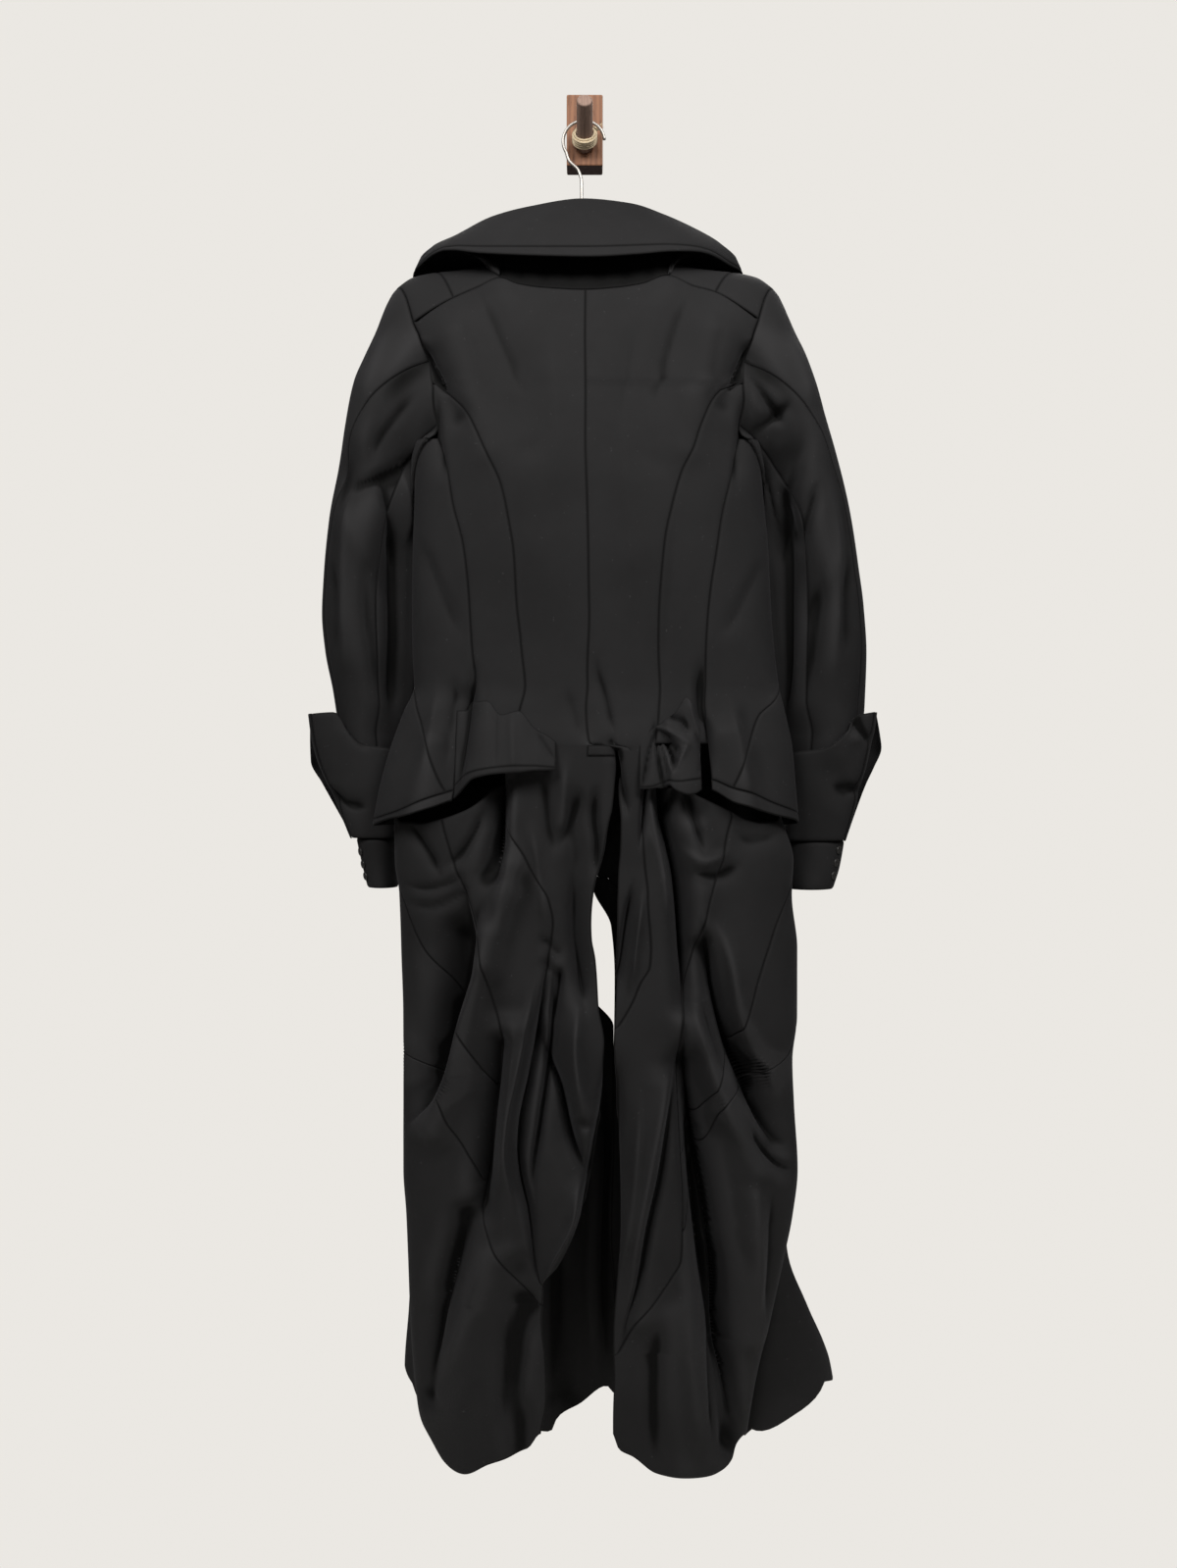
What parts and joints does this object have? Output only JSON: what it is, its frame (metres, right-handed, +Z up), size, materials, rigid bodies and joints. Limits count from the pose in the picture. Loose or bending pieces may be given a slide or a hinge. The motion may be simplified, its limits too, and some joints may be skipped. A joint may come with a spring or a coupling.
{
  "type": "wool coat on hanger and wall hook",
  "caption": "Long dark wool tail coat with peplum and flared cuffs, hung back outward on a hanger from a twine-wrapped wooden wall peg.",
  "frame": {"origin": "centre of the wall block's back face, where it is fixed to the wall", "axes": "+Z up, +Y into the wall, the coat's back faces -Y"},
  "size_m": [0.6491, 0.1618, 1.5244],
  "materials": {
    "wool": "fine wool twill with a slight sheen",
    "button": "dull black horn-like buttons",
    "block_wood": "reddish brown, satin",
    "peg_wood": "greyish brown, worn",
    "hanger_wood": "plain varnished",
    "steel": "bright steel wire",
    "twine": "rough tan twine"
  },
  "bodies": {
    "root": {"back_center_l": "wool", "back_center_r": "wool", "back_side_l": "wool", "back_side_r": "wool", "bar_tack": "wool", "collar_band": "wool", "collar_fall": "wool", "collar_stand": "wool", "cuff_button_l1": "button", "cuff_button_l2": "button", "cuff_button_l3": "button", "cuff_button_r1": "button", "cuff_button_r2": "button", "cuff_button_r3": "button", "cuff_edge_l": "wool", "cuff_edge_r": "wool", "cuff_l": "wool", "cuff_r": "wool", "cuff_wing_l": "wool", "cuff_wing_r": "wool", "flap_band_l": "wool", "flap_band_r": "wool", "flap_l": "wool", "flap_r": "wool", "front_l": "wool", "front_r": "wool", "hanger_bar": "hanger_wood", "hanger_hook": "steel", "hem_band_l": "wool", "hem_band_r": "wool", "hip_godet_l": "wool", "hip_godet_r": "wool", "peg": "peg_wood", "sleeve_back_l": "wool", "sleeve_back_r": "wool", "sleeve_top_l": "wool", "sleeve_top_r": "wool", "sleeve_under_l": "wool", "sleeve_under_r": "wool", "tail_hip_l": "wool", "tail_hip_r": "wool", "tail_lower_l": "wool", "tail_lower_r": "wool", "tail_mid_l": "wool", "tail_mid_r": "wool", "tail_side_l": "wool", "tail_side_r": "wool", "twine_knot": "twine", "twine_wraps": "twine", "underarm_l": "wool", "underarm_r": "wool", "wall_block": "block_wood", "yoke_neck_l": "wool", "yoke_neck_r": "wool", "yoke_tip_l": "wool", "yoke_tip_r": "wool"}
  },
  "joints": []
}
